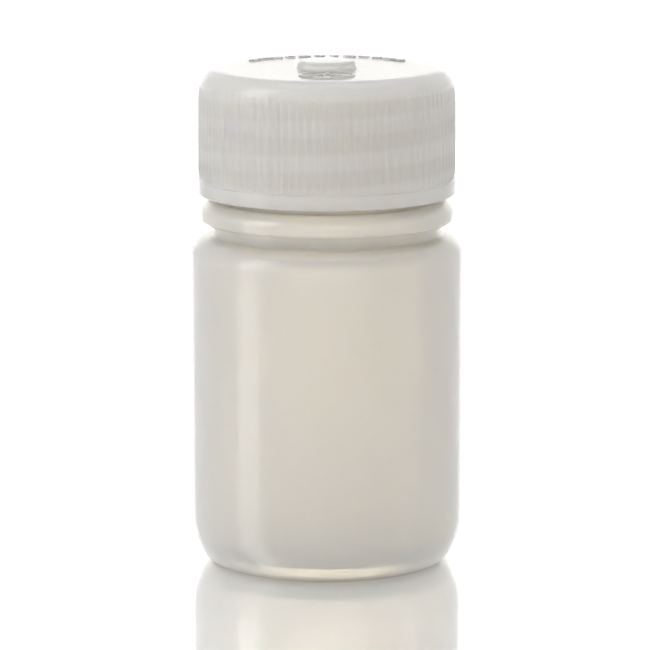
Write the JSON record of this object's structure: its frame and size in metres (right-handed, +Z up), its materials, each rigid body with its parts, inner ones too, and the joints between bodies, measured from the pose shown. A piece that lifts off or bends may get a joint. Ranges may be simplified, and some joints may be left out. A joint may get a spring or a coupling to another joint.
{
  "type": "reagent bottle",
  "caption": "Small wide-mouth plastic reagent bottle with a ribbed screw cap and a sealing disc inside the cap.",
  "frame": {"origin": "on the bottle's axis, at the level of the surface it stands on", "axes": "+Z up along the bottle's axis to the cap; -Y is the front"},
  "size_m": [0.0344, 0.0344, 0.0639],
  "materials": {
    "bottle_plastic": "translucent natural polyethylene",
    "liner_foam": "white foamed polyethylene",
    "cap_plastic": "translucent natural polypropylene"
  },
  "bodies": {
    "bottle": {"bottle": "bottle_plastic"},
    "liner": {"cap_liner": "liner_foam"},
    "cap": {"screw_cap": "cap_plastic"}
  },
  "joints": [
    {"name": "cap_lift", "type": "slide", "parent": "bottle", "child": "liner", "axis": [0, 0, 1], "range_m": [0, 0.01694]},
    {"name": "cap_turn", "type": "hinge", "parent": "liner", "child": "cap", "pos_m": [0, 0, 0.0547], "axis": [0, 0, 1], "range_deg": [0, 1440]}
  ],
  "couplings": [
    {"joint": "cap_lift", "follows": "cap_turn", "m_per_rad": 0.0006737}
  ]
}
